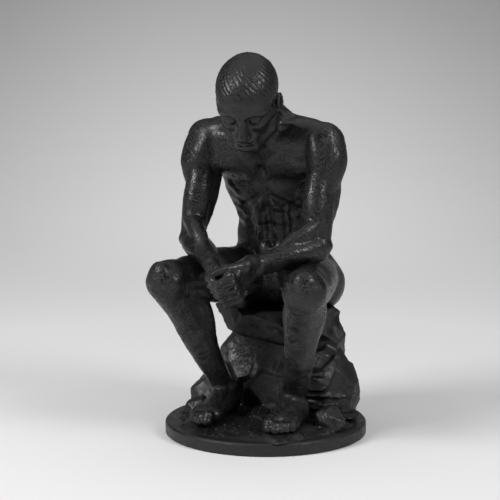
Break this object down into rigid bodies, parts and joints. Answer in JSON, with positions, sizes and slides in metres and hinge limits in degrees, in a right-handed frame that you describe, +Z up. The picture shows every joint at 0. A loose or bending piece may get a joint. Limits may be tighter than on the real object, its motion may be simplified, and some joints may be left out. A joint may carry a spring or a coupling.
{
  "type": "seated figure statuette",
  "caption": "Dark statuette of a seated figure deep in thought on a rock, hands clasped between the knees, on a round base disc with a felt underside.",
  "frame": {"origin": "centre of the felt pad's underside, where the statuette stands on a surface", "axes": "+Z up, the figure faces -Y, +X towards the figure's left hand"},
  "size_m": [0.134, 0.1502, 0.2513],
  "materials": {
    "figure_resin": "satin black cold-cast resin with a fine hand-modelled grain",
    "rock_resin": "dull black cold-cast resin, rough and broken like rock",
    "base_resin": "satin black turned disc with a fine edge break",
    "felt": "black self-adhesive felt",
    "steel": "plain bright steel",
    "brass": "knurled brass insert, plain outside"
  },
  "bodies": {
    "root": {"torso": "figure_resin", "left_leg": "figure_resin", "right_leg": "figure_resin", "left_arm": "figure_resin", "right_arm": "figure_resin", "clasped_hands": "figure_resin", "head": "figure_resin", "rock_seat": "rock_resin", "base_disc": "base_resin", "felt_pad": "felt", "neck_dowel": "steel", "left_shoulder_dowel": "steel", "left_hip_dowel": "steel", "left_wrist_dowel": "steel", "left_foot_dowel": "steel", "right_shoulder_dowel": "steel", "right_hip_dowel": "steel", "right_wrist_dowel": "steel", "right_foot_dowel": "steel", "seat_stud": "steel", "seat_washer": "steel", "seat_nut": "steel", "base_screws": "steel", "base_screw_washers": "steel", "rock_inserts": "brass"}
  },
  "joints": []
}
